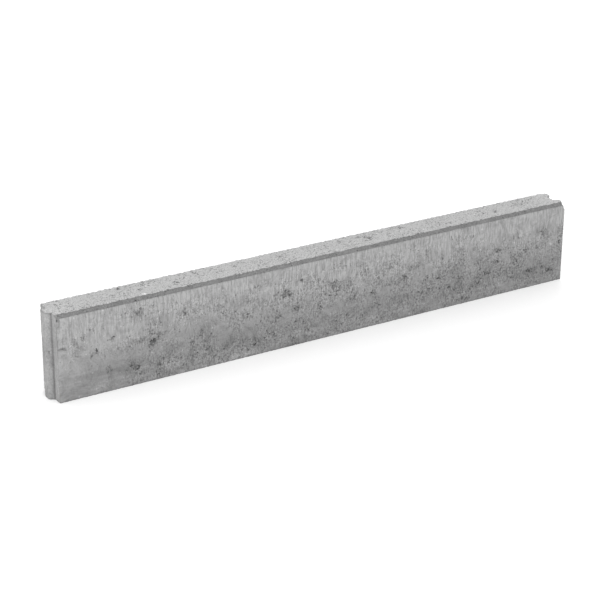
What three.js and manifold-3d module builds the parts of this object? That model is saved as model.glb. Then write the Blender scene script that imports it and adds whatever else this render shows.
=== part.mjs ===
// Concrete kerb stone with a tongue on one end and a groove for the next stone's tongue on the other.
//
// Millimetres, +Z up. The origin is on the underside, in the middle of the laid length and thickness.
// +X runs along the kerb towards the grooved end, -Y is the front face, which carries the chamfer.
//
// The stone is one casting: its plan is extruded over the height, then the front top arris is cut back.

import Module from 'manifold-3d';
import * as THREE from 'three';
import { mergeVertices } from 'three/addons/utils/BufferGeometryUtils.js';

// Body of the stone. The laid length runs from end face to end face, without the tongue.
const laidLength = 1000;
const height = 150;
const thickness = 60;

// Chamfer along the front top arris.
const chamferWidth = 7;
const chamferDrop = 5.5;

// Tongue, seen in plan: a trapezium with rounded corners that stands on the middle of the end face.
const tongueProjection = 9;
const tongueRootWidth = 28;
const tongueTipWidth = 14;
const tongueCornerRadius = 4;
const tongueRootFillet = 1.5;

// Room left all round a tongue in its groove, and the least that is left of a fillet it takes from.
const jointClearance = 1;
const leastFillet = 0.2;

// Each rounded corner is drawn with twice this many straight segments.
const arcDivisions = 4;

// How far the chamfer's cutter runs past the stone.
const cutterOverrun = 5;

const concreteColour = 0xa9a9a9;

/** The tongue's plan as it is cast. */
const tongueProfile = {
  projection: tongueProjection,
  rootWidth: tongueRootWidth,
  tipWidth: tongueTipWidth,
  cornerRadius: tongueCornerRadius,
  rootFillet: tongueRootFillet,
};

/** Angle between a profile's flank and the length of the kerb. */
function flankAngle(profile) {
  const taper = (profile.rootWidth - profile.tipWidth) / 2;
  return Math.atan2(taper, profile.projection);
}

/** The same profile with every side moved outwards by the clearance, which is the groove's plan. */
function withClearance(profile, clearance) {
  const angle = flankAngle(profile);
  const projection = profile.projection + clearance;
  const rootWidth = profile.rootWidth + (2 * clearance) / Math.cos(angle);
  return {
    projection,
    rootWidth,
    tipWidth: rootWidth - 2 * projection * Math.tan(angle),
    cornerRadius: profile.cornerRadius + clearance,
    rootFillet: Math.max(profile.rootFillet - clearance, leastFillet),
  };
}

/**
 * Points along a profile that leaves the end face at x = faceX and points towards -X, from its -Y
 * root to its +Y root. Every corner is an arc that touches the lines on both sides of it.
 */
function profilePoints(profile, faceX) {
  const angle = flankAngle(profile);
  const turn = Math.PI / 2 - angle;
  const rootTangent = profile.rootFillet * Math.tan(turn / 2);
  const tipTangent = profile.cornerRadius * Math.tan(turn / 2);
  const filletX = faceX - profile.rootFillet;
  const filletY = profile.rootWidth / 2 + rootTangent;
  const cornerX = faceX - profile.projection + profile.cornerRadius;
  const cornerY = profile.tipWidth / 2 - tipTangent;

  const path = new THREE.Path();
  path.absarc(filletX, -filletY, profile.rootFillet, 0, turn, false);
  path.absarc(cornerX, -cornerY, profile.cornerRadius, Math.PI + turn, Math.PI, true);
  path.absarc(cornerX, cornerY, profile.cornerRadius, Math.PI, Math.PI - turn, true);
  path.absarc(filletX, filletY, profile.rootFillet, -turn, 0, false);
  return path.getPoints(arcDivisions);
}

/** Outline of the whole stone seen from above, anticlockwise from the front face's tongue end. */
function planShape() {
  const halfLength = laidLength / 2;
  const halfThickness = thickness / 2;
  const groove = profilePoints(withClearance(tongueProfile, jointClearance), halfLength);
  const tongue = profilePoints(tongueProfile, -halfLength).reverse();
  return new THREE.Shape([
    new THREE.Vector2(-halfLength, -halfThickness),
    new THREE.Vector2(halfLength, -halfThickness),
    ...groove,
    new THREE.Vector2(halfLength, halfThickness),
    new THREE.Vector2(-halfLength, halfThickness),
    ...tongue,
  ]);
}

/** The stone before its arris is cut: the plan, extruded over the height. */
function stoneBlank() {
  return new THREE.ExtrudeGeometry(planShape(), { depth: height, bevelEnabled: false });
}

/** Wedge that takes the front top arris off, drawn in the Y-Z plane and extruded along the kerb. */
function chamferCutter() {
  const frontY = -thickness / 2;
  const slope = chamferDrop / chamferWidth;
  const outerY = frontY - cutterOverrun;
  const upperZ = height + cutterOverrun;
  const wedge = new THREE.Shape([
    new THREE.Vector2(outerY, height - chamferDrop - cutterOverrun * slope),
    new THREE.Vector2(frontY + chamferWidth + cutterOverrun / slope, upperZ),
    new THREE.Vector2(outerY, upperZ),
  ]);
  const cutterLength = laidLength + 2 * (tongueProjection + cutterOverrun);
  const geometry = new THREE.ExtrudeGeometry(wedge, { depth: cutterLength, bevelEnabled: false });
  const alongKerb = new THREE.Matrix4().makeBasis(
    new THREE.Vector3(0, 1, 0),
    new THREE.Vector3(0, 0, 1),
    new THREE.Vector3(1, 0, 0),
  );
  geometry.applyMatrix4(alongKerb);
  geometry.translate(-cutterLength / 2, 0, 0);
  return geometry;
}

const wasm = await Module();
wasm.setup();

/** A closed three.js geometry as a solid that can be cut. */
function toSolid(geometry) {
  const bare = geometry.clone();
  bare.deleteAttribute('normal');
  bare.deleteAttribute('uv');
  const merged = mergeVertices(bare);
  return new wasm.Manifold(new wasm.Mesh({
    numProp: 3,
    vertProperties: new Float32Array(merged.attributes.position.array),
    triVerts: new Uint32Array(merged.index.array),
  }));
}

/** A cut solid as a three.js geometry again. */
function toGeometry(solid) {
  const mesh = solid.getMesh();
  const geometry = new THREE.BufferGeometry();
  geometry.setAttribute('position', new THREE.BufferAttribute(mesh.vertProperties, 3));
  geometry.setIndex(new THREE.BufferAttribute(mesh.triVerts, 1));
  geometry.computeVertexNormals();
  return geometry;
}

/** The finished stone as one named mesh. */
function kerbStone() {
  const solid = toSolid(stoneBlank()).subtract(toSolid(chamferCutter()));
  const concrete = new THREE.MeshStandardMaterial({
    color: concreteColour,
    roughness: 0.92,
    metalness: 0,
  });
  const mesh = new THREE.Mesh(toGeometry(solid), concrete);
  mesh.name = 'kerb_stone';
  return mesh;
}

const kerb = new THREE.Group();
kerb.add(kerbStone());

export default kerb;
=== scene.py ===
"""Looks of a straight concrete kerb stone with a chamfered front arris, an end tongue and an end groove.

The stone is one casting, so it is one piece. Its mesh starts as a merged copy of the fixed solid, is cut
into a fine grid, and is then worn, pitted and roughened by moving its vertices inwards, so that the broken
arrises, the blow holes and the sandy top are real shape. Everything is in metres, apart from the spots on
the faces and the names that end in _mm, which are in millimetres.
"""

import logging
import math
import random
from dataclasses import dataclass, field
from enum import Enum
from typing import Any, Iterable

import bmesh
import bpy
from bmesh.types import BMEdge, BMesh, BMFace, BMVert
from bpy.types import ID, Material, Node, NodeSocket, NodeTree, Object
from mathutils import Euler, Matrix, Vector, noise
from mathutils.kdtree import KDTree


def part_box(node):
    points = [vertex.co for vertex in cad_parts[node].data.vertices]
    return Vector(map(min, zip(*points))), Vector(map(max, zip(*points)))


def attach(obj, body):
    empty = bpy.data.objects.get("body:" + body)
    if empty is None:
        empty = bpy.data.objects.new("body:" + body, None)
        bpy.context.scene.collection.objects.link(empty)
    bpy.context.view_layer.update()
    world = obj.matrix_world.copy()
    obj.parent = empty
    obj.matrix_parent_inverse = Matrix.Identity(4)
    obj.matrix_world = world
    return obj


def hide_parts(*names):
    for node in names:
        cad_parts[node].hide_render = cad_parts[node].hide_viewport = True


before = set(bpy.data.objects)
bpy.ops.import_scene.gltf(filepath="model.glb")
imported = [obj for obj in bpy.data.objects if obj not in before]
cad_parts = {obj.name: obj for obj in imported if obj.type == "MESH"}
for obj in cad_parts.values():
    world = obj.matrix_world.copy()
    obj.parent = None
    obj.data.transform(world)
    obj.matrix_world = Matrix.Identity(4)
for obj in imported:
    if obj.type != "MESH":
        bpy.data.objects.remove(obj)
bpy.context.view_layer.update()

LOG = logging.getLogger("kerb")
Triple = tuple[float, float, float]
MM = 0.001
NODE = "kerb_stone"
BODY = "root"
PIECE = "cast_kerb_stone"
FOUR_SIDED = 4

# Points no deeper than this below the plane of a face belong to it.
SKIN = 1.0 * MM

# The noise texture stays within this reach of its middle.
NOISE_MIDDLE = 0.5
NOISE_REACH = 0.3


class Surface(Enum):
    """Faces of the stone that were formed in different ways. The value is the material's index."""

    MOULD_SIDE = 0
    STRUCK_TOP = 1
    CHAMFER = 2
    END_FORM = 3
    BED = 4


class Mark(Enum):
    """What the mesh tells its materials at each vertex. The value is the attribute's name."""

    PORE = "pore"
    ARRIS = "arris"
    # Painted shade: darker in the inward corners, on the tongue's flanks and under its struck lip.
    CREASE = "crease"
    STAIN = "stain"
    OPEN = "open"

    def read(self, tree: NodeTree) -> NodeSocket:
        """Bring the mark into a material."""
        return add_node(tree, "Attribute", attribute_name=self.value).outputs["Fac"]


def linear_colour(hex_code: str) -> tuple[float, float, float, float]:
    """Turn an sRGB hex colour into linear light.

    Args:
        hex_code: Six hex digits, such as "9b9b98".

    Returns:
        Linear red, green, blue and an alpha of 1.
    """
    channels = [int(hex_code[i : i + 2], 16) / 255 for i in (0, 2, 4)]
    linear = [c / 12.92 if c <= 0.04045 else ((c + 0.055) / 1.055) ** 2.4 for c in channels]
    return (linear[0], linear[1], linear[2], 1.0)


def per_metre(size_mm: float) -> float:
    """Texture scale that repeats a pattern once every size_mm."""
    return 1 / (size_mm * MM)


def smooth_step(low: float, high: float, value: float) -> float:
    """Rise smoothly from 0 at low to 1 at high."""
    share = min(max((value - low) / (high - low), 0.0), 1.0)
    return share * share * (3 - 2 * share)


def noise_at(place: Vector, size_mm: float, shift: Triple = (0, 0, 0)) -> float:
    """Noise of a real size at a point; each shift gives a pattern of its own."""
    return noise.noise(place * per_metre(size_mm) + Vector(shift))


def search_tree(points: Iterable[Vector]) -> KDTree:
    """Put points in a search tree.

    Args:
        points: The points, which are numbered in this order.

    Returns:
        The balanced tree.
    """
    listed = list(points)
    tree = KDTree(len(listed))
    for index, point in enumerate(listed):
        tree.insert(point, index)
    tree.balance()
    return tree


def vertices_of(edges: Iterable[BMEdge]) -> list[BMVert]:
    """Vertices of some edges, each of them once, by index."""
    return sorted({vertex for edge in edges for vertex in edge.verts}, key=lambda v: v.index)


def add_node(
    tree: NodeTree, kind: str, inputs: dict[str | int, Any] | None = None, **settings: Any
) -> Node:
    """Add one shader node with its settings, values and links.

    Args:
        tree: Node tree that gets the node.
        kind: Blender's node type name, without the "ShaderNode" that all of them start with.
        inputs: Input sockets by name or index; an output socket is linked, anything else is a value.
        **settings: Node properties by name.

    Returns:
        The new node.
    """
    node = tree.nodes.new("ShaderNode" + kind)
    for name, value in settings.items():
        setattr(node, name, value)
    for name, value in (inputs or {}).items():
        if isinstance(value, NodeSocket):
            tree.links.new(value, node.inputs[name])
        else:
            node.inputs[name].default_value = value
    return node


def put_in_scene(name: str, data: ID) -> Object:
    """Make an object of some data and link it to the scene.

    Args:
        name: The object's name.
        data: Its mesh, light or camera.

    Returns:
        The new object.
    """
    made = bpy.data.objects.new(name, data)
    bpy.context.scene.collection.objects.link(made)
    return made


@dataclass(frozen=True)
class Fade:
    """A smooth change from one factor to another.

    Attributes:
        start: Level up to which the first factor holds.
        end: Level from which the last factor holds.
        first: Factor before the change.
        last: Factor after it.
    """

    start: float
    end: float
    first: float
    last: float

    def factor(self, tree: NodeTree, level: NodeSocket, unit: float = 1.0) -> NodeSocket:
        """Turn a level into the factor; the start and the end are counted in the unit."""
        inputs = {"Value": level, 1: self.start * unit, 2: self.end * unit, 3: self.first, 4: self.last}
        return add_node(tree, "MapRange", inputs, interpolation_type="SMOOTHSTEP").outputs[0]


@dataclass(frozen=True)
class Patches:
    """Slow or quick change from light to dark paste.

    Attributes:
        size_mm: Size of a patch along X, Y and Z.
        share: How far the tone goes up and down, as a share.
        octaves: How many times finer patches, each half the size, are laid over it.
        plateau: Noise level above which the paste is evenly light; by default there is none.
        crusted: How far the patches' outlines are pulled out of round.
    """

    size_mm: Triple
    share: float
    octaves: int = 0
    plateau: float = NOISE_MIDDLE + NOISE_REACH
    crusted: float = 0.0

    def factor(self, tree: NodeTree, place: NodeSocket) -> NodeSocket:
        """Lay the patches out as a factor round 1.

        Args:
            tree: The material's node tree.
            place: Object coordinates.

        Returns:
            Socket with the factor.
        """
        inputs = {"Vector": place, "Scale": [per_metre(size) for size in self.size_mm]}
        scaled = add_node(tree, "Mapping", inputs).outputs[0]
        patch = add_node(
            tree,
            "TexNoise",
            {
                "Vector": scaled,
                "Scale": 1.0,
                "Detail": self.octaves,
                "Roughness": 1.0,
                "Distortion": self.crusted,
            },
        ).outputs[0]
        darkest = 1 - self.share
        lightest = 1 + self.share * (self.plateau - NOISE_MIDDLE) / NOISE_REACH
        inputs = {"Value": patch, 1: NOISE_MIDDLE - NOISE_REACH, 2: self.plateau, 3: darkest, 4: lightest}
        return add_node(tree, "MapRange", inputs).outputs[0]


# Fades that all finishes share: the grain's strength, by how open the paste is, and where the drag marks,
# the level bands and the darker foot reach, in shares of the stone's height.
GRAIN_FADE = Fade(-0.1, 0.13, 0.25, 1.4)
DRAG_FADE = Fade(0.35, 0.8, 0.0, 1.0)
BAND_FADE = Fade(0.2, 0.45, 1.0, 0.0)
FOOT_ZONE = (0.15, 0.85)


@dataclass(frozen=True)
class ConcreteFinish:
    """Pressed concrete: grey cement paste with fine sand, matt, and as rough as its forming left it.

    Attributes:
        name: Material name.
        paste: sRGB hex colour of the dry cement paste.
        relief_mm: Depth of the sand grain's relief in the mesh.
        grain_mm: Width of the grain that the mesh carries.
        patches: Tones all over the face.
        grain: Tones of the grain, fainter where fine paste closed over it.
        high_patches: Tones that show on the upper half only.
        low_patches: Tones that show near the foot only.
        foot: Tone at the foot of the face, which grows smoothly darker down towards it.
        end_lift: Tone added where the face meets the end plates.
        end_reach_mm: Length of that lighter stretch.
        worn: Tone of a broken arris.
        glint: Tone added by a bare grain of quartz.
        pinhole: Tone of the pinholes that are too small for the mesh; 1 leaves them out.
        painted_hollow_shade: Tone in a blow hole, and in an inward corner.
        quartz_mm: Width of the largest sand.
        quartz_levels: Noise levels between which such a grain is bare.
        pinhole_mm: Size of a pinhole along X, Y and Z.
        pinhole_levels: Noise levels between which a pinhole opens.
        pinhole_opening: How much open paste lowers those levels.
        sand_mm: Width of the sand that only the bump carries.
        sand_bump: Strength of that bump.
        roughness: Roughness of the dry paste.
        gloss: Its specular level.
    """

    name: str
    paste: str
    relief_mm: float
    grain_mm: float
    patches: tuple[Patches, ...]
    grain: tuple[Patches, ...] = ()
    high_patches: tuple[Patches, ...] = ()
    low_patches: tuple[Patches, ...] = ()
    foot: float = 1.0
    end_lift: float = 0.0
    end_reach_mm: float = 20.0
    worn: float = 0.9
    glint: float = 0.0
    pinhole: float = 1.0
    # painted_hollow_shade: Painted shade in a blow hole, and in an inward corner.
    painted_hollow_shade: float = 0.5
    quartz_mm: float = 4.0
    quartz_levels: tuple[float, float] = (0.8, 0.86)
    pinhole_mm: Triple = (3.0, 3.0, 3.8)
    pinhole_levels: tuple[float, float] = (0.58, 0.7)
    pinhole_opening: float = 0.4
    sand_mm: float = 2.2
    sand_bump: float = 0.8
    roughness: float = 0.92
    gloss: float = 0.3

    def material(self, high: Vector) -> Material:
        """Make the procedural material.

        Args:
            high: Highest corner of the stone.

        Returns:
            The new material.
        """
        made = bpy.data.materials.new(self.name)
        made.use_nodes = True
        tree = made.node_tree
        tree.nodes.clear()
        place = add_node(tree, "TexCoord").outputs["Object"]
        paste = add_node(
            tree,
            "Mix",
            {"Factor": 1.0, 6: linear_colour(self.paste), 7: self.tone(tree, place, high)},
            data_type="RGBA",
            blend_type="MULTIPLY",
        ).outputs[2]
        shader = add_node(
            tree,
            "BsdfPrincipled",
            {
                "Base Color": paste,
                "Roughness": self.roughness,
                "Specular IOR Level": self.gloss,
                "Normal": self.sand(tree, place),
            },
        )
        add_node(tree, "OutputMaterial", {"Surface": shader.outputs[0]})
        return made

    def tone(self, tree: NodeTree, place: NodeSocket, high: Vector) -> NodeSocket:
        """Multiply every layer of light and dark into one factor.

        Args:
            tree: The material's node tree.
            place: Object coordinates.
            high: Highest corner of the stone.

        Returns:
            Socket with the factor.
        """
        split = add_node(tree, "SeparateXYZ", {0: place})
        height = split.outputs[2]
        from_middle = add_node(tree, "Math", {0: split.outputs[0]}, operation="ABSOLUTE").outputs[0]
        stain = add_node(tree, "Math", {0: Mark.STAIN.read(tree), 1: 1.0}, operation="ADD")
        opened = Mark.OPEN.read(tree)
        masked = (
            (GRAIN_FADE.factor(tree, opened), self.grain),
            (DRAG_FADE.factor(tree, height, high.z), self.high_patches),
            (BAND_FADE.factor(tree, height, high.z), self.low_patches),
        )
        layers = [patches.factor(tree, place) for patches in self.patches]
        for mask, group in masked:
            for patches in group:
                inputs = {0: mask, 2: 1.0, 3: patches.factor(tree, place)}
                layers.append(add_node(tree, "Mix", inputs, data_type="FLOAT").outputs[0])
        near_end = high.x - self.end_reach_mm * MM
        layers += [
            Fade(*FOOT_ZONE, self.foot, 1.0).factor(tree, height, high.z),
            Fade(near_end, high.x, 1.0, 1 + self.end_lift).factor(tree, from_middle),
            # The blow holes and the inward corners get painted shade.
            self.shaded(tree, Mark.PORE, self.painted_hollow_shade),
            self.shaded(tree, Mark.ARRIS, self.worn),
            self.shaded(tree, Mark.CREASE, self.painted_hollow_shade),
            stain.outputs[0],
        ]
        if self.glint:
            layers.append(self.quartz(tree, place))
        if self.pinhole < 1:
            layers.append(self.pinholes(tree, place, opened))
        factor = layers[0]
        for layer in layers[1:]:
            factor = add_node(tree, "Math", {0: factor, 1: layer}, operation="MULTIPLY").outputs[0]
        return factor

    @staticmethod
    def shaded(tree: NodeTree, mark: Mark, shade: float) -> NodeSocket:
        """Factor that falls to a shade where a mark rises to 1."""
        inputs = {"Value": mark.read(tree), 3: 1.0, 4: shade}
        return add_node(tree, "MapRange", inputs).outputs[0]

    def quartz(self, tree: NodeTree, place: NodeSocket) -> NodeSocket:
        """Few, single bright grains, as wide as the largest sand.

        Args:
            tree: The material's node tree.
            place: Object coordinates.

        Returns:
            Socket with the factor.
        """
        inputs = {"Vector": place, "Scale": per_metre(self.quartz_mm), "Detail": 0.0}
        grain = add_node(tree, "TexNoise", inputs).outputs[0]
        return Fade(*self.quartz_levels, 1.0, 1 + self.glint).factor(tree, grain)

    def pinholes(self, tree: NodeTree, place: NodeSocket, opened: NodeSocket) -> NodeSocket:
        """Dark pinholes, thicker where the paste stayed open.

        Args:
            tree: The material's node tree.
            place: Object coordinates.
            opened: How open the paste is.

        Returns:
            Socket with the factor.
        """
        inputs = {"Vector": place, "Scale": [per_metre(size) for size in self.pinhole_mm]}
        stretched = add_node(tree, "Mapping", inputs).outputs[0]
        grain = add_node(tree, "TexNoise", {"Vector": stretched, "Scale": 1.0, "Detail": 1.0}).outputs[0]
        inputs = {0: opened, 1: self.pinhole_opening, 2: grain}
        level = add_node(tree, "Math", inputs, operation="MULTIPLY_ADD").outputs[0]
        return Fade(*self.pinhole_levels, 1.0, self.pinhole).factor(tree, level)

    def sand(self, tree: NodeTree, place: NodeSocket) -> NodeSocket:
        """Sand too fine for the mesh, as a bump.

        Args:
            tree: The material's node tree.
            place: Object coordinates.

        Returns:
            Socket with the normal.
        """
        inputs = {"Vector": place, "Scale": per_metre(self.sand_mm), "Detail": 2.0}
        sand = add_node(tree, "TexNoise", inputs).outputs[0]
        inputs = {"Strength": self.sand_bump, "Distance": self.relief_mm * MM, "Height": sand}
        return add_node(tree, "Bump", inputs).outputs[0]


FINISHES: dict[Surface, ConcreteFinish] = {
    # Slid up out of a steel mould: a skin of fine paste with vertical drag marks, darker towards its foot.
    Surface.MOULD_SIDE: ConcreteFinish(
        "mould_faced_concrete",
        "929292",
        relief_mm=0.15,
        grain_mm=5.0,
        patches=(Patches((36, 36, 36), 0.38, 3, plateau=0.54, crusted=1.0),),
        grain=(
            Patches((9, 9, 11), 0.16, 1, plateau=0.52, crusted=1.5),
            Patches((2.8, 2.8, 2.8), 0.42, 1, plateau=0.55),
            Patches((2.8, 30, 12), 0.37, 1, plateau=0.56, crusted=0.4),
        ),
        high_patches=(Patches((3.4, 30, 24), 0.34, 1, plateau=0.62, crusted=0.5),),
        low_patches=(Patches((50, 30, 9), 0.2, 2),),
        foot=0.725,
        end_lift=0.04,
        end_reach_mm=12,
        worn=0.82,
        glint=0.35,
        pinhole=0.64,
    ),
    # Struck off with a board: open, sandy and the lightest face.
    Surface.STRUCK_TOP: ConcreteFinish(
        "struck_concrete",
        "a5a5a5",
        relief_mm=0.35,
        grain_mm=4.5,
        patches=(Patches((24, 24, 24), 0.06, 2), Patches((2.0, 3.6, 2.0), 0.7, 1, plateau=0.53)),
        end_lift=0.08,
        end_reach_mm=60,
        glint=0.5,
        pinhole=0.45,
    ),
    # Torn as the former was drawn off: coarse and dark.
    Surface.CHAMFER: ConcreteFinish(
        "torn_concrete",
        "6f6f6f",
        relief_mm=0.6,
        grain_mm=4.0,
        patches=(Patches((24, 24, 24), 0.2, 2), Patches((2.8, 2.8, 2.8), 0.32, 1)),
        end_lift=0.2,
        end_reach_mm=15,
        pinhole=0.7,
    ),
    # Pressed against the end plates: close and even.
    Surface.END_FORM: ConcreteFinish(
        "end_faced_concrete",
        "959595",
        relief_mm=0.15,
        grain_mm=5.0,
        patches=(Patches((40, 40, 60), 0.4, 4), Patches((3.0, 3.0, 3.0), 0.2, 1)),
        worn=0.74,
    ),
    # Stood on a pallet while green: coarse.
    Surface.BED: ConcreteFinish(
        "bed_faced_concrete",
        "888888",
        relief_mm=0.4,
        grain_mm=12.0,
        patches=(Patches((60, 60, 60), 0.5, 4), Patches((3.5, 3.5, 3.5), 0.3, 1)),
        pinhole=0.6,
    ),
}


@dataclass(frozen=True)
class Spot:
    """An oval spot on a face, in millimetres.

    Attributes:
        along: Place of its middle along the kerb.
        across: Height of its middle on a mould side, or its place across the top.
        half_width: Half its size along the kerb.
        half_height: Half its size across the face.
        strength: How strong it is in its middle; below 0 it takes away.
    """

    along: float
    across: float
    half_width: float
    half_height: float
    strength: float = 1.0

    def offset(self, place: Vector) -> tuple[float, float]:
        """Offset of a point on a mould side from the middle, along and up, in half sizes."""
        along = (place.x / MM - self.along) / self.half_width
        return along, (place.z / MM - self.across) / self.half_height


# Stains of the front face. Their strength is the share of light that they add.
STAINS = (
    # Two level bands above the foot.
    Spot(0, 15, 480, 7, 0.05),
    Spot(-40, 34, 440, 9, -0.05),
    # Paler places.
    Spot(-492, 55, 70, 34, 0.18),
    Spot(-470, 98, 10, 8, 0.1),
    Spot(-426, 12, 20, 8, 0.22),
    Spot(-418, 80, 34, 20, 0.1),
    Spot(-376, 86, 20, 14, 0.14),
    Spot(-338, 114, 12, 10, 0.12),
    Spot(-304, 24, 38, 9, 0.35),
    Spot(-245, 18, 24, 7, 0.12),
    Spot(-175, 7, 32, 8, 0.26),
    Spot(-122, 32, 30, 10, 0.18),
    Spot(-47, 19, 20, 10, 0.3),
    Spot(-15, 70, 14, 12, 0.16),
    Spot(12, 18, 22, 6, 0.1),
    Spot(30, 108, 38, 9, 0.06),
    Spot(99, 88, 12, 12, 0.22),
    Spot(138, 108, 14, 10, 0.12),
    Spot(145, 51, 20, 10, 0.15),
    Spot(145, 18, 48, 6, 0.1),
    Spot(200, 52, 16, 12, 0.2),
    Spot(271, 18, 22, 8, 0.34),
    Spot(308, 118, 12, 10, 0.08),
    Spot(359, 21, 18, 9, 0.28),
    Spot(443, 80, 12, 8, 0.1),
    Spot(475, 36, 16, 12, 0.14),
    # Darker places.
    Spot(-493, 92, 8, 2.5, -0.65),
    Spot(-451, 105, 12, 7, -0.2),
    Spot(-415, 34, 50, 8, -0.27),
    Spot(-380, 136, 24, 8, -0.1),
    Spot(-358, 121, 15, 13, -0.26),
    Spot(-336, 70, 18, 15, -0.12),
    Spot(-323, 26, 6, 5, -0.4),
    Spot(-368, 38, 18, 20, -0.13),
    Spot(-314, 102, 20, 26, -0.18),
    Spot(-244, 109, 16, 7, -0.24),
    Spot(-208, 100, 40, 8, -0.14),
    Spot(-190, 48, 66, 16, -0.11),
    Spot(-252, 70, 36, 20, -0.12),
    Spot(-84, 101, 14, 15, -0.16),
    Spot(-62, 69, 15, 12, -0.1),
    Spot(-78, 3, 26, 7, -0.14),
    Spot(22, 96, 30, 11, -0.1),
    Spot(20, 128, 18, 8, -0.08),
    Spot(62, 2, 24, 5, -0.1),
    Spot(120, 35, 90, 8, -0.1),
    Spot(150, 76, 18, 12, -0.1),
    Spot(156, 3, 24, 6, -0.18),
    Spot(203, 82, 14, 8, -0.1),
    Spot(225, 103, 16, 10, -0.1),
    Spot(247, 3, 14, 7, -0.22),
    Spot(268, 70, 18, 40, -0.12),
    Spot(304, 41, 50, 8, -0.13),
    Spot(330, 60, 36, 15, -0.1),
    Spot(333, 114, 14, 8, -0.1),
    Spot(352, 88, 22, 13, -0.12),
    Spot(384, 103, 14, 12, -0.12),
    Spot(432, 32, 50, 14, -0.2),
    Spot(454, 106, 26, 16, -0.2),
    # The dark edge and corner at the tongue end.
    Spot(-500, 118, 3, 36, -0.25),
    Spot(-499, 142, 3.5, 3.5, -1.1),
    # Two bare, pale bits of stone.
    Spot(-19, 56, 3, 3, 0.6),
    Spot(472, 75, 2.5, 2.5, 0.9),
)

# Crowds of blow holes on the front face.
FRONT_CROWDS = (
    Spot(-493, 92, 8, 3),
    Spot(-456, 103, 5, 5),
    Spot(-444, 68, 4, 4),
    Spot(-434, 74, 5, 5),
    Spot(-418, 112, 4, 4),
    Spot(-414, 38, 7, 6),
    Spot(-406, 91, 8, 4),
    Spot(-373, 42, 7, 8),
    Spot(-364, 31, 8, 6),
    Spot(-357, 123, 9, 9),
    Spot(-335, 69, 8, 8),
    Spot(-323, 26, 7, 6),
    Spot(-322, 81, 5, 6),
    Spot(-273, 104, 5, 5),
    Spot(-263, 44, 8, 8),
    Spot(-247, 66, 6, 8),
    Spot(-232, 30, 12, 8),
    Spot(-204, 29, 10, 8),
    Spot(-167, 78, 8, 8),
    Spot(-148, 31, 4, 4),
    Spot(-144, 17, 8, 6),
    Spot(-104, 100, 6, 6),
    Spot(-98, 62, 9, 8),
    Spot(-86, 98, 9, 12),
    Spot(-63, 69, 10, 7),
    Spot(-56, 115, 6, 5),
    Spot(-18, 57, 6, 5),
    Spot(13, 95, 9, 8),
    Spot(34, 82, 9, 6),
    Spot(21, 127, 5, 4),
    Spot(41, 95, 5, 11),
    Spot(50, 64, 5, 7),
    Spot(56, 105, 4, 5),
    Spot(90, 64, 7, 7),
    Spot(121, 73, 8, 6),
    Spot(122, 103, 6, 5),
    Spot(152, 75, 10, 8),
    Spot(153, 43, 7, 6),
    Spot(199, 113, 7, 8),
    Spot(232, 97, 5, 5),
    Spot(227, 63, 7, 7),
    Spot(250, 129, 3, 7),
    Spot(256, 32, 10, 8),
    Spot(272, 51, 8, 8),
    Spot(309, 30, 9, 6),
    Spot(333, 48, 8, 6),
    Spot(352, 86, 9, 4),
    Spot(352, 66, 7, 6),
    Spot(386, 102, 5, 5),
    Spot(411, 46, 7, 6),
    Spot(418, 77, 6, 4),
    Spot(433, 32, 13, 10),
    Spot(455, 102, 9, 9),
    Spot(467, 62, 4, 4),
    Spot(473, 25, 10, 6),
    Spot(491, 73, 4, 7),
)

# Crowds of blow holes on the top.
TOP_CROWDS = (
    Spot(-366, 20, 5, 5),
    Spot(-340, -3, 7, 6),
    Spot(-279, -7, 5, 8),
    Spot(-234, 18, 5, 8),
    Spot(-235, -4, 5, 6),
    Spot(-75, 7, 6, 5),
    Spot(83, 13, 7, 6),
    Spot(85, -6, 7, 6),
    Spot(99, 3, 9, 9),
    Spot(171, 17, 6, 8),
    Spot(261, -8, 8, 6),
    Spot(364, -1, 6, 6),
)

# Wide spots on the front face. Their strength lowers the noise level that opens a hole there.
REGIONS = (
    Spot(-490, 28, 105, 55, -0.33),
    Spot(420, 135, 130, 32, -0.35),
    Spot(0, 145, 800, 20, -0.22),
    Spot(-460, 130, 60, 40, -0.1),
    Spot(-400, 92, 62, 24, -0.2),
    Spot(350, 40, 190, 55, 0.13),
    Spot(160, 35, 90, 50, 0.07),
    Spot(33, 110, 36, 12, -0.35),
    Spot(20, 88, 150, 38, 0.12),
    Spot(-60, 20, 240, 30, 0.12),
    Spot(-310, 20, 90, 28, 0.14),
)


@dataclass
class Paste:
    """Slow changes of the paste on the front face, where it ran drier, wetter or was rubbed.

    Attributes:
        front_y: Where the front face is.
        ragged: How far a stain's outline strays, in its half sizes.
        ragged_mm: Distance over which it strays.
        fade_out: Where a stain has faded out, in its half sizes.
        stains: Every stain.
    """

    front_y: float
    ragged: float = 0.5
    ragged_mm: float = 16.0
    fade_out: float = 1.3
    stains: tuple[Spot, ...] = STAINS

    def change(self, place: Vector) -> float:
        """Sum of the stains' changes at a point.

        Args:
            place: Point on the stone.

        Returns:
            Share of light added, or taken away below 0.
        """
        if place.y > self.front_y + SKIN:
            return 0.0
        ragged = self.ragged * noise_at(place, self.ragged_mm)
        total = 0.0
        for stain in self.stains:
            reach = math.hypot(*stain.offset(place)) + ragged
            total += stain.strength * (1 - smooth_step(0.0, self.fade_out, reach))
        return total


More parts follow.
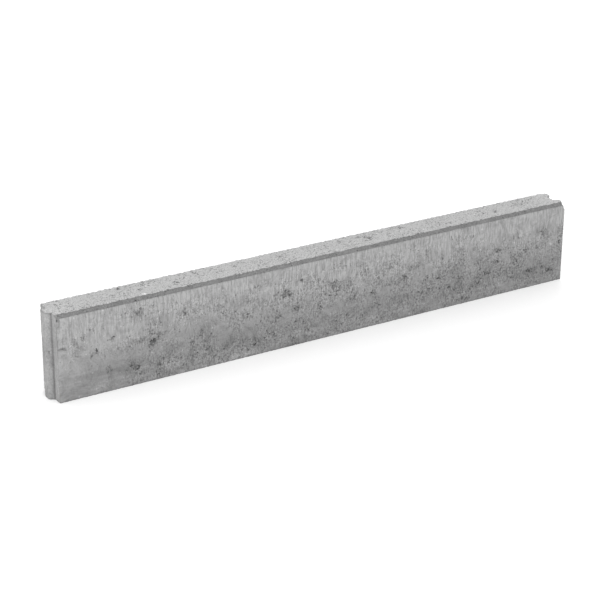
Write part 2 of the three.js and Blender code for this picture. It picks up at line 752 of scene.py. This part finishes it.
@dataclass
class BlowHoles:
    """Holes that trapped air and lost sand left in the faces.

    Attributes:
        low: Lowest corner of the stone.
        high: Highest corner of the stone.
        hole_mm: Usual width of a hole.
        pit_mm: Width of the pits that break up its outline.
        pitting: Share of the noise that is theirs.
        patch_mm: Usual distance between places where the strewn holes are thicker.
        tuft_mm: Distance between the lesser of those places.
        tufting: How much they count beside the others.
        rarity: Noise level that opens a hole on plain paste.
        crowding: How much a crowd lowers that level at its middle.
        thickening: How much the strewn holes' thicker places lower it.
        shade: Share of light that the paste loses in the middle of a crowd.
        edge: Rise in noise from a hole's rim to its floor.
        depth_mm: Depth of a hole.
        reach_mm: Furthest that any crowd reaches.
        fullness: How soon a crowd is at its thickest from its outline inwards; 1 only at its middle.
        fray: How far a crowd's outline strays, as a share of its size.
        fray_mm: Distance over which it strays.
        front: Crowds on the front face.
        top: Crowds on the top.
        regions: Wide spots on the front face where holes are likelier or rarer.
        back_count: How many crowds are strewn over the back.
        back_seed: Seed of their places.
        back_heights: Their lowest, highest and commonest height, as shares of the stone's.
        back_half_widths: Their least and greatest half width.
        back_half_heights: Their least and greatest half height.
        crowds: Every crowd.
        centres: Their middles in space.
        tree: The same middles as a search tree.
    """

    low: Vector
    high: Vector
    hole_mm: float = 4.0
    pit_mm: float = 2.0
    pitting: float = 0.35
    patch_mm: float = 32.0
    tuft_mm: float = 12.8
    tufting: float = 0.6
    rarity: float = 0.48
    crowding: float = 0.28
    thickening: float = 0.22
    shade: float = 0.11
    edge: float = 0.1
    depth_mm: float = 1.2
    reach_mm: float = 17.0
    fullness: float = 1.6
    fray: float = 0.9
    fray_mm: float = 7.0
    front: tuple[Spot, ...] = FRONT_CROWDS
    top: tuple[Spot, ...] = TOP_CROWDS
    regions: tuple[Spot, ...] = REGIONS
    back_count: int = 40
    back_seed: int = 5
    back_heights: Triple = (0.05, 0.95, 0.4)
    back_half_widths: tuple[float, float] = (5, 13)
    back_half_heights: tuple[float, float] = (5, 10)
    crowds: list[Spot] = field(init=False)
    centres: list[Vector] = field(init=False)
    tree: KDTree = field(init=False)

    def __post_init__(self) -> None:
        """Place every crowd in space."""
        chance = random.Random(self.back_seed)
        half_length = self.high.x / MM
        height = self.high.z / MM
        back = [
            Spot(
                chance.uniform(-half_length, half_length),
                height * chance.triangular(*self.back_heights),
                chance.uniform(*self.back_half_widths),
                chance.uniform(*self.back_half_heights),
            )
            for _ in range(self.back_count)
        ]
        self.crowds = [*self.front, *back, *self.top]
        self.centres = [Vector((c.along * MM, self.low.y, c.across * MM)) for c in self.front]
        self.centres += [Vector((c.along * MM, self.high.y, c.across * MM)) for c in back]
        self.centres += [Vector((c.along * MM, c.across * MM, self.high.z)) for c in self.top]
        self.tree = search_tree(self.centres)

    def level(self, place: Vector) -> float:
        """How far a point is above the noise level that opens a hole.

        Args:
            place: Point on the stone.

        Returns:
            Positive inside a hole, negative outside.
        """
        grain = (1 - self.pitting) * noise_at(place, self.hole_mm)
        grain += self.pitting * noise_at(place, self.pit_mm, shift=(5, 3, 9))
        return grain - self.rarity + self.openness(place)

    def openness(self, place: Vector) -> float:
        """How open the paste is at a point.

        Args:
            place: Point on the stone.

        Returns:
            0 as a rule, and more where the holes are thick.
        """
        thick = noise_at(place, self.patch_mm, shift=(2, 7, 1))
        thick += self.tufting * noise_at(place, self.tuft_mm, shift=(8, 1, 4))
        crowd = self.crowd(place)
        openness = self.thickening * thick + self.crowding * crowd
        if place.y < self.low.y + SKIN:
            for region in self.regions:
                along, upward = region.offset(place)
                inside = max(1 - along * along - upward * upward, 0.0)
                openness += region.strength * inside * (1 - crowd)
        return openness

    def crowd(self, place: Vector) -> float:
        """How near a point is to the middle of a crowd.

        Args:
            place: Point on the stone.

        Returns:
            1 in the middle, 0 outside every crowd.
        """
        nearest = 0.0
        found = self.tree.find_range(place, self.reach_mm * MM)
        if not found:
            return nearest
        stray_along = self.fray * noise_at(place, self.fray_mm)
        stray_across = self.fray * noise_at(place, self.fray_mm, shift=(7, 3, 1))
        for _, index, _ in found:
            crowd = self.crowds[index]
            offset = (place - self.centres[index]) / MM
            along = offset.x / crowd.half_width + stray_along
            # On the crowd's own face one of these two is 0: Y on a mould side, Z on the top.
            across = (offset.y + offset.z) / crowd.half_height + stray_across
            thick = self.fullness * (1 - along * along - across * across)
            nearest = max(nearest, crowd.strength * thick)
        return min(nearest, 1.0)

    def share(self, place: Vector) -> float:
        """Depth of a point in a hole, from 0 outside to 1 on its floor."""
        return smooth_step(0.0, self.edge, self.level(place))


@dataclass(frozen=True)
class Chip:
    """A piece broken off an arris.

    Attributes:
        centre_mm: Middle of the chip on the arris.
        radius_mm: How far the chip reaches along the arris.
        depth_mm: How deep it is at its middle.
        face: Outward direction of the face that it is struck from; none for both faces alike.
        fresh: Share of light that its clean break adds.
        floor: Share of its radius within which it is at its deepest.
    """

    centre_mm: Triple
    radius_mm: float
    depth_mm: float
    face: Triple | None = None
    fresh: float = 0.0
    floor: float = 0.25

    def share(self, place: Vector) -> float:
        """How much of the chip's depth is gone at a point, from 0 to 1."""
        distance = (place - Vector(self.centre_mm) * MM).length
        return 1 - smooth_step(self.floor, 1.0, distance / (self.radius_mm * MM))


@dataclass
class Arrises:
    """Outward corners of the casting, which lose grains and chips.

    Attributes:
        bend: Faces that meet at a greater angle than this make an arris.
        least_mm: Depth gone from even the best stretch.
        sheltered: Share of the usual wear below the top, where the mould held the arris.
        sheltered_below_mm: Height up to which an arris is so sheltered.
        ragged_mm: Depth that comes and goes with each grain.
        grain_mm: Length of such a stretch.
        ragged_level: Noise level from which grains are gone.
        nibble_mm: Depth of the small bites between them.
        bite_mm: Length of a bite.
        nibble_level: Noise level from which the arris is bitten.
        rounded_mm: How far the loss carries over to the faces where next to nothing is gone.
        carry: How much further it carries for each millimetre that is gone.
        chips: Larger pieces that are gone.
    """

    bend: float = math.radians(25)
    least_mm: float = 0.25
    sheltered: float = 0.35
    sheltered_below_mm: float = 138.0
    ragged_mm: float = 1.8
    grain_mm: float = 5.0
    ragged_level: float = -0.35
    nibble_mm: float = 1.4
    bite_mm: float = 11.0
    nibble_level: float = 0.15
    rounded_mm: float = 0.8
    carry: float = 2.0
    chips: tuple[Chip, ...] = (
        Chip((-494, 30, 150), 9, 0.8),
        Chip((500, 33, 150), 14, 2.4, face=(0, 0, 1)),
        Chip((500, -24, 150), 7, 1.8),
        Chip((500, -30, 145), 9, 3.0),
        Chip((-500, -30, 144), 4, 1.2),
        Chip((-342, -20, 150), 5, 0.8, fresh=0.7),
    )

    def vertices(self, shape: BMesh) -> list[BMVert]:
        """Vertices on the outward corners of a closed shape."""
        edges = (e for e in shape.edges if e.is_convex)
        return vertices_of(e for e in edges if e.calc_face_angle(0.0) > self.bend)

    def loss(self, place: Vector, normal: Vector) -> Vector:
        """What is gone at a place on an arris.

        Args:
            place: Point on the arris.
            normal: Outward direction there.

        Returns:
            Outward step, in metres, that undoes the loss.
        """
        ragged = max(noise_at(place, self.grain_mm) - self.ragged_level, 0.0)
        bitten = max(noise_at(place, self.bite_mm, shift=(3, 1, 7)) - self.nibble_level, 0.0)
        depth = (self.least_mm + self.ragged_mm * ragged + self.nibble_mm * bitten) * MM
        if place.z < self.sheltered_below_mm * MM:
            depth *= self.sheltered
        lost = normal * depth
        for chip in self.chips:
            lost += Vector(chip.face or normal) * chip.depth_mm * MM * chip.share(place)
        return lost

    def share(self, distance: float, loss: Vector) -> float:
        """Share of an arris's loss that carries over to a point, from 1 on the arris down to 0."""
        width = self.rounded_mm * MM + self.carry * loss.length
        return max(1 - distance / width, 0.0) ** 2

    def freshness(self, place: Vector) -> float:
        """Share of light that clean breaks add at a point."""
        return sum(chip.fresh * chip.share(place) for chip in self.chips)


@dataclass
class KerbStone:
    """The cast stone.

    Attributes:
        cell_mm: Width of the mesh's cells; on the back and the bed they are twice as wide.
        weld_mm: Vertices of the solid that are closer than this are merged.
        flat_bend: Faces that meet at a smaller angle than this are joined into one.
        square: Least share of a normal along an axis on a face that is square to it.
        slanted: Least upward share of a normal on the chamfer.
        end_zone_mm: Length at each end that is cut plane by plane, for the tongue and the groove.
        on_plane_mm: Vertices nearer than this to a cutting plane count as on it.
        pit_halvings: How many times the cells that blow holes reach are halved.
        pitted_level: How far above the level that opens a hole such a cell is.
        painted_flank_shade_mm: How far the painted shade of an inward corner spreads on the tongue's
            flanks.
        painted_crease_line_mm: How far its painted dark line spreads.
        painted_crease_line: How dark that painted line is.
        painted_flank_shade: How dark the painted shade on the tongue's flank is beside it.
        painted_lip_shadow_mm: How far below the top the painted shadow under the tongue's struck lip is.
        painted_lip_shadow: How dark that painted shadow is.
        edge_mm: Points this near to the end face or the top stay out of those two painted shades.
        crease_bend: Faces that meet inwards at a greater angle than this make an inward corner.
        octaves: How quickly the grain's octaves fall off, how much finer each is, and how many.
        fold_bend: Faces that meet at a greater angle than this after the wear lie folded.
        unfold_passes: How many times the folded places are smoothed.
        unfold_share: How far each time goes towards their neighbours' middle.
        low: Lowest corner.
        high: Highest corner.
        arrises: Its outward corners.
        holes: Its blow holes.
        paste: The paste of its front face.
    """

    cell_mm: float = 3.0
    weld_mm: float = 0.12
    flat_bend: float = math.radians(0.5)
    square: float = 0.99
    slanted: float = 0.3
    end_zone_mm: float = 14.0
    on_plane_mm: float = 0.01
    pit_halvings: int = 2
    pitted_level: float = 0.03
    painted_flank_shade_mm: float = 12.0
    painted_crease_line_mm: float = 3.0
    painted_crease_line: float = 0.52
    painted_flank_shade: float = 0.5
    painted_lip_shadow_mm: float = 1.6
    painted_lip_shadow: float = 0.5
    edge_mm: float = 0.1
    crease_bend: float = math.radians(3)
    octaves: tuple[float, float, int] = (0.7, 2.1, 3)
    fold_bend: float = math.radians(95)
    unfold_passes: int = 4
    unfold_share: float = 0.5
    low: Vector = field(default_factory=lambda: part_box(NODE)[0])
    high: Vector = field(default_factory=lambda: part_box(NODE)[1])
    arrises: Arrises = field(default_factory=Arrises)
    holes: BlowHoles = field(init=False)
    paste: Paste = field(init=False)

    def __post_init__(self) -> None:
        """Lay out the marks that follow the stone's box."""
        self.holes = BlowHoles(self.low, self.high)
        self.paste = Paste(self.low.y)

    def build(self) -> Object:
        """Make the stone and give it its finishes.

        Returns:
            The finished piece.
        """
        shape = bmesh.new()
        shape.from_mesh(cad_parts[NODE].data)
        bmesh.ops.remove_doubles(shape, verts=shape.verts, dist=self.weld_mm * MM)
        bmesh.ops.dissolve_limit(shape, angle_limit=self.flat_bend, verts=shape.verts, edges=shape.edges)
        self.mark_surfaces(shape)
        self.grid(shape)
        self.refine(shape)
        self.wear(shape)
        self.unfold(shape)
        mesh = bpy.data.meshes.new(PIECE)
        shape.to_mesh(mesh)
        shape.free()
        mesh.shade_smooth()
        for surface in Surface:
            mesh.materials.append(FINISHES[surface].material(self.high))
        stone = put_in_scene(PIECE, mesh)
        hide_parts(NODE)
        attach(stone, BODY)
        return stone

    def mark_surfaces(self, shape: BMesh) -> None:
        """Give each face the index of the surface that it belongs to.

        Args:
            shape: The merged solid, changed in place.
        """
        shape.normal_update()
        for face in shape.faces:
            normal = face.normal
            if normal.z > self.square:
                surface = Surface.STRUCK_TOP
            elif normal.z < -self.square:
                surface = Surface.BED
            elif normal.z > self.slanted:
                surface = Surface.CHAMFER
            elif abs(normal.y) > self.square:
                surface = Surface.MOULD_SIDE
            else:
                surface = Surface.END_FORM
            face.material_index = surface.value

    def grid(self, shape: BMesh) -> None:
        """Cut the faces into square cells.

        Args:
            shape: The merged solid, changed in place.
        """
        low, high = self.low, self.high
        cell = self.cell_mm * MM
        plain = 2 * cell
        body_end = high.x - self.end_zone_mm * MM
        along, across, upward = Vector((1, 0, 0)), Vector((0, 1, 0)), Vector((0, 0, 1))
        self.cut(shape, along, [-body_end, body_end])
        columns = round(2 * body_end / plain)
        long_edges = [e for e in shape.edges if abs(e.verts[0].co.x - e.verts[1].co.x) > body_end]
        bmesh.ops.subdivide_edges(shape, edges=long_edges, cuts=columns - 1, use_grid_fill=True)
        # The fine cuts run midway between the coarse ones.
        middles = [-body_end + (column + 0.5) * 2 * body_end / columns for column in range(columns)]
        ends = self.steps(-body_end, low.x, cell) + self.steps(body_end, high.x, cell)
        first = low.y + cell
        self.cut(shape, along, ends)
        self.cut(shape, along, middles, fine=True)
        self.cut(shape, upward, self.steps(0.0, high.z, plain))
        self.cut(shape, across, self.steps(low.y, high.y, plain))
        self.cut(shape, upward, [*self.steps(cell, high.z + cell, plain), cell], fine=True)
        self.cut(shape, across, [first, *self.steps(first, high.y + cell, plain)], fine=True)

    @staticmethod
    def steps(start: float, end: float, size: float) -> list[float]:
        """Even steps strictly between two places, as close to a size as fits."""
        count = max(round(abs(end - start) / size), 1)
        return [start + (end - start) * i / count for i in range(1, count)]

    def cut(self, shape: BMesh, normal: Vector, places: list[float], fine: bool = False) -> None:
        """Cut faces along parallel planes, taking nothing away.

        Args:
            shape: The stone, changed in place.
            normal: The planes' normal.
            places: How far out along it each plane is.
            fine: Leave the plain back and bed as they are.
        """
        for place in places:
            point = place * normal
            distance = point.dot(normal)
            faces = [
                face
                for face in shape.faces
                if not (fine and self.is_plain(face)) and self.crosses(face, normal, distance)
            ]
            edges = {edge for face in faces for edge in face.edges}
            verts = {vert for face in faces for vert in face.verts}
            bmesh.ops.bisect_plane(
                shape,
                geom=[*faces, *edges, *verts],
                dist=self.on_plane_mm * MM,
                plane_co=point,
                plane_no=normal,
            )

    @staticmethod
    def crosses(face: BMFace, normal: Vector, distance: float) -> bool:
        """True if a plane passes through a face."""
        sides = [vert.co.dot(normal) > distance for vert in face.verts]
        return any(sides) and not all(sides)

    @staticmethod
    def is_plain(face: BMFace) -> bool:
        """True for a face of the back or the bed."""
        on_back = face.material_index == Surface.MOULD_SIDE.value and face.normal.y > 0
        return on_back or face.material_index == Surface.BED.value

    def refine(self, shape: BMesh) -> None:
        """Halve the cells that show wear, and leave no face with more than four sides.

        Args:
            shape: The gridded stone, changed in place.
        """
        arris_faces = {face for vert in self.arrises.vertices(shape) for face in vert.link_faces}
        self.halve(shape, arris_faces)
        for _ in range(self.pit_halvings):
            self.halve(shape, self.pitted(shape))
        many_sided = [face for face in shape.faces if len(face.verts) > FOUR_SIDED]
        bmesh.ops.triangulate(shape, faces=many_sided, quad_method="BEAUTY", ngon_method="BEAUTY")

    def pitted(self, shape: BMesh) -> set[BMFace]:
        """Find the four-sided faces that a blow hole reaches.

        Args:
            shape: The gridded stone.

        Returns:
            Those faces.
        """
        shape.verts.index_update()
        levels = [self.holes.level(vertex.co) for vertex in shape.verts]
        return {
            face
            for face in shape.faces
            if len(face.verts) == FOUR_SIDED
            and (
                max(levels[vertex.index] for vertex in face.verts) > self.pitted_level
                or self.holes.level(face.calc_center_median()) > self.pitted_level
            )
        }

    @staticmethod
    def halve(shape: BMesh, faces: set[BMFace]) -> None:
        """Cut each face into four that are half as wide.

        Args:
            shape: The gridded stone, changed in place.
            faces: The faces to cut.
        """
        shape.edges.index_update()
        edges = sorted({edge for face in faces for edge in face.edges}, key=lambda e: e.index)
        bmesh.ops.subdivide_edges(shape, edges=edges, cuts=1, use_grid_fill=True)

    def wear(self, shape: BMesh) -> None:
        """Move every vertex inwards by its grain, its blow hole and its broken arris, and mark it.

        Args:
            shape: The gridded stone, changed in place.
        """
        holes, arrises = self.holes, self.arrises
        shape.normal_update()
        layers = {mark: shape.verts.layers.float.new(mark.value) for mark in Mark}
        shape.verts.index_update()
        edges_out = arrises.vertices(shape)
        out_tree = search_tree(vertex.co for vertex in edges_out)
        losses = [arrises.loss(vertex.co, vertex.normal) for vertex in edges_out]
        in_tree = search_tree(vertex.co for vertex in self.creases(shape))
        moves: list[Vector] = []
        for vertex in shape.verts:
            place = vertex.co
            pore = holes.share(place)
            _, index, distance = out_tree.find(place)
            broken = arrises.share(distance, losses[index])
            depth = self.relief(vertex) + pore * holes.depth_mm * MM
            moves.append(-vertex.normal * depth - losses[index] * broken)
            stain = self.paste.change(place) + arrises.freshness(place)
            vertex[layers[Mark.PORE]] = pore
            vertex[layers[Mark.ARRIS]] = broken
            # Painted shade of the inward corners, the tongue's flanks and its lip.
            vertex[layers[Mark.CREASE]] = self.crease(place, in_tree.find(place)[2])
            vertex[layers[Mark.OPEN]] = holes.openness(place)
            vertex[layers[Mark.STAIN]] = stain - holes.shade * holes.crowd(place)
        for vertex, move in zip(shape.verts, moves):
            vertex.co += move
        shape.normal_update()

    def unfold(self, shape: BMesh) -> None:
        """Smooth the few places where the wear has folded a face over its neighbour.

        Args:
            shape: The worn stone, changed in place.
        """
        for _ in range(self.unfold_passes):
            folds = (e for e in shape.edges if e.calc_face_angle(0.0) > self.fold_bend)
            bmesh.ops.smooth_vert(
                shape,
                verts=vertices_of(folds),
                factor=self.unfold_share,
                use_axis_x=True,
                use_axis_y=True,
                use_axis_z=True,
            )
            shape.normal_update()

    def crease(self, place: Vector, distance: float) -> float:
        """Painted shade of an inward corner: a narrow line, and wider shade on the tongue's flanks and
        lip.

        Args:
            place: Point on the stone.
            distance: Its distance from the corner.

        Returns:
            0 beyond the reach of every shade, and about 1 in the tongue's corners.
        """
        dark = self.painted_crease_line * max(1 - distance / (self.painted_crease_line_mm * MM), 0.0)
        under_top = (self.high.z - place.z) / MM
        # Painted shade on the tongue's flanks, and a painted shadow under its struck lip.
        if place.x < -self.high.x - self.edge_mm * MM:
            dark += self.painted_flank_shade * max(1 - distance / (self.painted_flank_shade_mm * MM), 0.0)
            if under_top > self.edge_mm:
                dark += self.painted_lip_shadow * max(1 - abs(under_top - self.painted_lip_shadow_mm) / self.painted_lip_shadow_mm, 0.0)
        return dark

    def creases(self, shape: BMesh) -> list[BMVert]:
        """Vertices on the inward corners of the tongue's and the groove's profiles."""
        edges = (e for e in shape.edges if not e.is_convex)
        return vertices_of(e for e in edges if e.calc_face_angle(0.0) > self.crease_bend)

    def relief(self, vertex: BMVert) -> float:
        """Depth of the grain at a vertex, from the surfaces that meet there.

        Args:
            vertex: The vertex.

        Returns:
            Depth in metres.
        """
        finishes = [FINISHES[Surface(face.material_index)] for face in vertex.link_faces]
        depth = sum(finish.relief_mm for finish in finishes) / len(finishes)
        size = sum(finish.grain_mm for finish in finishes) / len(finishes)
        rough = noise.fractal(vertex.co * per_metre(size), *self.octaves)
        return max(1 - rough, 0.0) / 2 * depth * MM


@dataclass(frozen=True)
class SoftBox:
    """A square soft box that faces the stone.

    Attributes:
        name: The light's name.
        place: Where it hangs.
        power: Its power in watts.
        size: Side of the box.
    """

    name: str
    place: Triple
    power: float
    size: float = 2.6

    def hang(self) -> None:
        """Hang the soft box."""
        data = bpy.data.lights.new(self.name, "AREA")
        data.size = self.size
        data.energy = self.power
        lamp = put_in_scene(self.name, data)
        lamp.location = self.place
        lamp.rotation_euler = (-lamp.location).to_track_quat("-Z", "Y").to_euler()


@dataclass
class Studio:
    """Floor, light and camera.

    Attributes:
        floor_size: Side of the square floor.
        floor_colour: sRGB hex colour of the floor.
        room_light: Strength of the even light from all round.
        soft_boxes: The key and the fill.
        station: Where the camera stands.
        heading: Degrees that the camera looks to the right of +Y.
        tilt: Degrees that it looks down.
        roll: Degrees that it leans.
        lens_mm: Focal length for the sensor's width.
        sensor_mm: Width of the sensor.
        sight: How far the camera sees.
    """

    floor_size: float = 40.0
    floor_colour: str = "f2f2f2"
    room_light: float = 1.0
    soft_boxes: tuple[SoftBox, ...] = (
        SoftBox("key_soft_box", (-2.0, -3.2, 3.4), 130),
        SoftBox("fill_soft_box", (2.4, 3.6, 2.6), 55),
    )
    station: Triple = (-1.529, -2.431, 1.295)
    heading: float = 31.48
    tilt: float = 23.33
    roll: float = 0.35
    lens_mm: float = 110.2
    sensor_mm: float = 36.0
    sight: float = 100.0

    def place_camera(self) -> None:
        """Stand the camera in front of the stone's tongue end."""
        data = bpy.data.cameras.new("camera")
        data.lens = self.lens_mm
        data.sensor_width = self.sensor_mm
        data.clip_end = self.sight
        camera = put_in_scene("camera", data)
        upright = Euler((math.radians(90 - self.tilt), 0, math.radians(-self.heading)))
        turn = upright.to_matrix() @ Matrix.Rotation(math.radians(self.roll), 3, "Z")
        camera.matrix_world = Matrix.Translation(self.station) @ turn.to_4x4()
        bpy.context.scene.camera = camera

    def lay_floor(self) -> None:
        """Lay a plain pale floor under the stone."""
        shape = bmesh.new()
        bmesh.ops.create_grid(shape, x_segments=1, y_segments=1, size=self.floor_size / 2)
        mesh = bpy.data.meshes.new("studio_floor")
        shape.to_mesh(mesh)
        shape.free()
        # Matt white paint: even and without gloss, so it shows nothing but the stone's soft shadow.
        paint = bpy.data.materials.new("matt_white_paint")
        paint.use_nodes = True
        shader = paint.node_tree.nodes["Principled BSDF"]
        shader.inputs["Base Color"].default_value = linear_colour(self.floor_colour)
        shader.inputs["Roughness"].default_value = 1.0
        shader.inputs["Specular IOR Level"].default_value = 0.0
        mesh.materials.append(paint)
        floor = put_in_scene("studio_floor", mesh)

    def light(self) -> None:
        """Light the stone with an even white room, a large key soft box and a weaker fill."""
        scene = bpy.context.scene
        scene.view_settings.view_transform = "Standard"
        world = bpy.data.worlds.new("white_room")
        world.use_nodes = True
        background = world.node_tree.nodes["Background"]
        background.inputs["Color"].default_value = (1, 1, 1, 1)
        background.inputs["Strength"].default_value = self.room_light
        scene.world = world
        for soft_box in self.soft_boxes:
            soft_box.hang()


def main() -> None:
    """Set up the studio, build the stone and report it."""
    logging.basicConfig(level=logging.INFO, format="%(name)s %(message)s")
    studio = Studio()
    studio.place_camera()
    studio.lay_floor()
    studio.light()
    stone = KerbStone().build()
    triangles = sum(len(polygon.vertices) - 2 for polygon in stone.data.polygons)
    LOG.info("%s: %d vertices, %d triangles", stone.name, len(stone.data.vertices), triangles)


if __name__ == "__main__":
    main()
